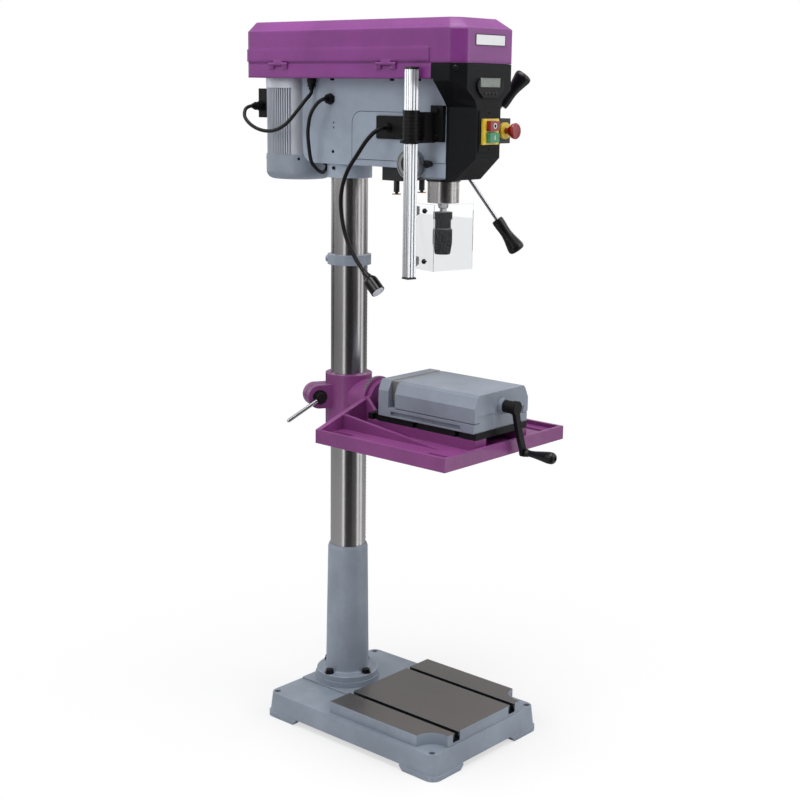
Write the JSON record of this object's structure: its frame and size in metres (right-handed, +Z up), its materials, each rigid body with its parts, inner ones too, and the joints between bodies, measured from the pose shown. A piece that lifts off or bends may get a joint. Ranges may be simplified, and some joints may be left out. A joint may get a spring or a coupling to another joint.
{
  "type": "pillar drill",
  "caption": "Floor-standing pillar drill: column on a slotted base, tilting table with vise, belt-driven head with quill feed, chuck guard and lamp.",
  "frame": {"origin": "centre of the four floor bolt holes, at the floor", "axes": "+Z up, -Y towards the operator, +X to the side of the feed handle"},
  "size_m": [0.456, 0.919, 1.77],
  "materials": {
    "casting_grey": "hammered grey paint",
    "cover_purple": "satin purple paint",
    "table_purple": "satin purple paint",
    "column_steel": "ground steel",
    "bolt_steel": "zinc plated",
    "chrome": "polished",
    "bright_steel": "ground",
    "black_plastic": "fine grain",
    "black_steel": "black oxide",
    "yellow_plastic": "gloss",
    "red_plastic": "gloss",
    "green_plastic": "gloss",
    "alloy": "cast and machined",
    "rubber": "smooth rubber",
    "clear": "clear polycarbonate"
  },
  "bodies": {
    "stand": {"base": "casting_grey", "column_foot": "casting_grey", "foot_bolts": "bolt_steel", "column": "column_steel", "rack_collar": "casting_grey", "lock_screws": "bolt_steel", "head": "casting_grey", "spring_cap": "black_plastic", "front_housing": "black_plastic", "display_bezel": "black_plastic", "switch_frame": "yellow_plastic", "estop_box": "black_plastic", "belt_pan": "cover_purple", "hinge_pins": "bolt_steel", "motor_body": "alloy", "motor_bell": "casting_grey", "terminal_box": "black_plastic", "cable_glands": "rubber", "motor_cable": "rubber", "switch_cable": "rubber", "drive_belt": "rubber", "spindle_belt": "rubber", "idler_arm": "black_steel", "guard_mount": "black_plastic", "lamp_arm": "black_plastic", "lamp_head": "black_plastic", "laser_unit": "black_plastic"},
    "rack": {"lift_rack": "bolt_steel"},
    "bracket": {"table_bracket": "table_purple"},
    "table": {"table": "table_purple", "tilt_bolt": "bolt_steel", "vise_plate": "black_steel", "vise_base": "casting_grey", "fixed_jaw": "bright_steel"},
    "vise_jaw": {"vise_slide": "casting_grey", "moving_jaw": "bright_steel"},
    "vise_screw": {"vise_crank": "black_steel"},
    "vise_handle": {"vise_grip": "black_plastic"},
    "table_clamp": {"lock_lever": "chrome"},
    "lift_pinion": {"lift_gear": "bolt_steel"},
    "lift_worm": {"lift_crank": "black_steel"},
    "feed": {"feed_shaft": "black_steel", "feed_spokes": "chrome", "feed_grips": "black_plastic"},
    "quill": {"quill": "column_steel", "quill_bearings": "bolt_steel"},
    "spindle": {"spindle": "bright_steel", "chuck_body": "black_steel"},
    "chuck_ring": {"chuck_sleeve": "black_steel"},
    "spindle_drive": {"spindle_pulley": "alloy"},
    "idler": {"idler_pulley": "alloy"},
    "motor_rotor": {"motor_pulley": "alloy"},
    "lid": {"belt_lid": "cover_purple"},
    "start_key": {"start_button": "green_plastic"},
    "stop_key": {"stop_button": "red_plastic"},
    "estop": {"estop_button": "red_plastic"},
    "quill_clamp": {"quill_lock": "black_plastic"},
    "guard_pivot": {"guard_sleeve": "black_plastic"},
    "guard": {"guard_rail": "alloy", "guard_shield": "clear"}
  },
  "joints": [
    {"name": "table_swing", "type": "hinge", "parent": "stand", "child": "rack", "pos_m": [0, 0.1925, 0], "axis": [0, 0, 1], "range_deg": [-180, 180]},
    {"name": "table_lift", "type": "slide", "parent": "rack", "child": "bracket", "axis": [0, 0, 1], "range_m": [-0.31, 0.25]},
    {"name": "lift_crank_turn", "type": "hinge", "parent": "bracket", "child": "lift_worm", "pos_m": [0, 0.2165, 0.8127], "axis": [1, 0, 0], "range_deg": [-11845, 9555]},
    {"name": "lift_pinion_turn", "type": "hinge", "parent": "bracket", "child": "lift_pinion", "pos_m": [0.0696, 0.1925, 0.842], "axis": [0, -1, 0], "range_deg": [-1186, 956]},
    {"name": "table_tilt", "type": "hinge", "parent": "bracket", "child": "table", "pos_m": [0, 0.086, 0.845], "axis": [0, 1, 0], "range_deg": [-45, 45]},
    {"name": "table_lock_turn", "type": "hinge", "parent": "bracket", "child": "table_clamp", "pos_m": [-0.07434, 0.23371, 0.846], "axis": [-0.4848, -0.8746, 0], "range_deg": [-70, 30]},
    {"name": "vise_screw_turn", "type": "hinge", "parent": "vise_jaw", "child": "vise_screw", "pos_m": [0, -0.3, 0.89], "axis": [0, -1, 0], "range_deg": [0, 7110]},
    {"name": "vise_jaw_slide", "type": "slide", "parent": "table", "child": "vise_jaw", "axis": [0, -1, 0], "range_m": [0, 0.0989]},
    {"name": "vise_handle_spin", "type": "hinge", "parent": "vise_screw", "child": "vise_handle", "pos_m": [0.034, -0.38, 0.778], "axis": [0, -1, 0], "continuous": true},
    {"name": "feed_turn", "type": "hinge", "parent": "stand", "child": "feed", "pos_m": [0, -0.07, 1.441], "axis": [-1, 0, 0], "range_deg": [-763.9, 0]},
    {"name": "quill_feed", "type": "slide", "parent": "stand", "child": "quill", "axis": [0, 0, 1], "range_m": [-0.12, 0]},
    {"name": "motor_spin", "type": "hinge", "parent": "stand", "child": "motor_rotor", "pos_m": [0, 0.372, 0], "axis": [0, 0, 1], "continuous": true},
    {"name": "idler_spin", "type": "hinge", "parent": "stand", "child": "idler", "pos_m": [0, 0.14, 0], "axis": [0, 0, 1], "continuous": true},
    {"name": "drive_spin", "type": "hinge", "parent": "stand", "child": "spindle_drive", "pos_m": [0, -0.1115, 0], "axis": [0, 0, 1], "continuous": true},
    {"name": "spindle_spin", "type": "hinge", "parent": "quill", "child": "spindle", "pos_m": [0, -0.1115, 0], "axis": [0, 0, 1], "continuous": true},
    {"name": "chuck_turn", "type": "hinge", "parent": "spindle", "child": "chuck_ring", "pos_m": [0, -0.1115, 0], "axis": [0, 0, 1], "range_deg": [0, 720]},
    {"name": "lid_open", "type": "hinge", "parent": "stand", "child": "lid", "pos_m": [-0.112, 0, 1.668], "axis": [0, 1, 0], "range_deg": [-85, 0]},
    {"name": "start_press", "type": "slide", "parent": "stand", "child": "start_key", "axis": [0, 1, 0], "range_m": [0, 0.003], "stiffness_N_per_m": 300},
    {"name": "stop_press", "type": "slide", "parent": "stand", "child": "stop_key", "axis": [0, 1, 0], "range_m": [0, 0.003], "stiffness_N_per_m": 300},
    {"name": "estop_press", "type": "slide", "parent": "stand", "child": "estop", "axis": [0, 1, 0], "range_m": [0, 0.004], "stiffness_N_per_m": 500},
    {"name": "quill_lock_turn", "type": "hinge", "parent": "stand", "child": "quill_clamp", "pos_m": [-0.06, -0.1235, 1.443], "axis": [1, 0, 0], "range_deg": [0, 150]},
    {"name": "guard_swing", "type": "hinge", "parent": "stand", "child": "guard_pivot", "pos_m": [-0.13, -0.121, 0], "axis": [0, 0, 1], "range_deg": [-110, 0]},
    {"name": "guard_slide", "type": "slide", "parent": "guard_pivot", "child": "guard", "axis": [0, 0, 1], "range_m": [-0.09, 0.045]}
  ],
  "couplings": [
    {"joint": "lift_crank_turn", "follows": "table_lift", "rad_per_m": 666.67},
    {"joint": "lift_pinion_turn", "follows": "table_lift", "rad_per_m": 66.667},
    {"joint": "vise_jaw_slide", "follows": "vise_screw_turn", "m_per_rad": 0.00079577},
    {"joint": "quill_feed", "follows": "feed_turn", "m_per_rad": 0.009},
    {"joint": "idler_spin", "follows": "motor_spin", "ratio": 0.48387},
    {"joint": "drive_spin", "follows": "motor_spin", "ratio": 0.3629},
    {"joint": "spindle_spin", "follows": "motor_spin", "ratio": 0.3629}
  ]
}
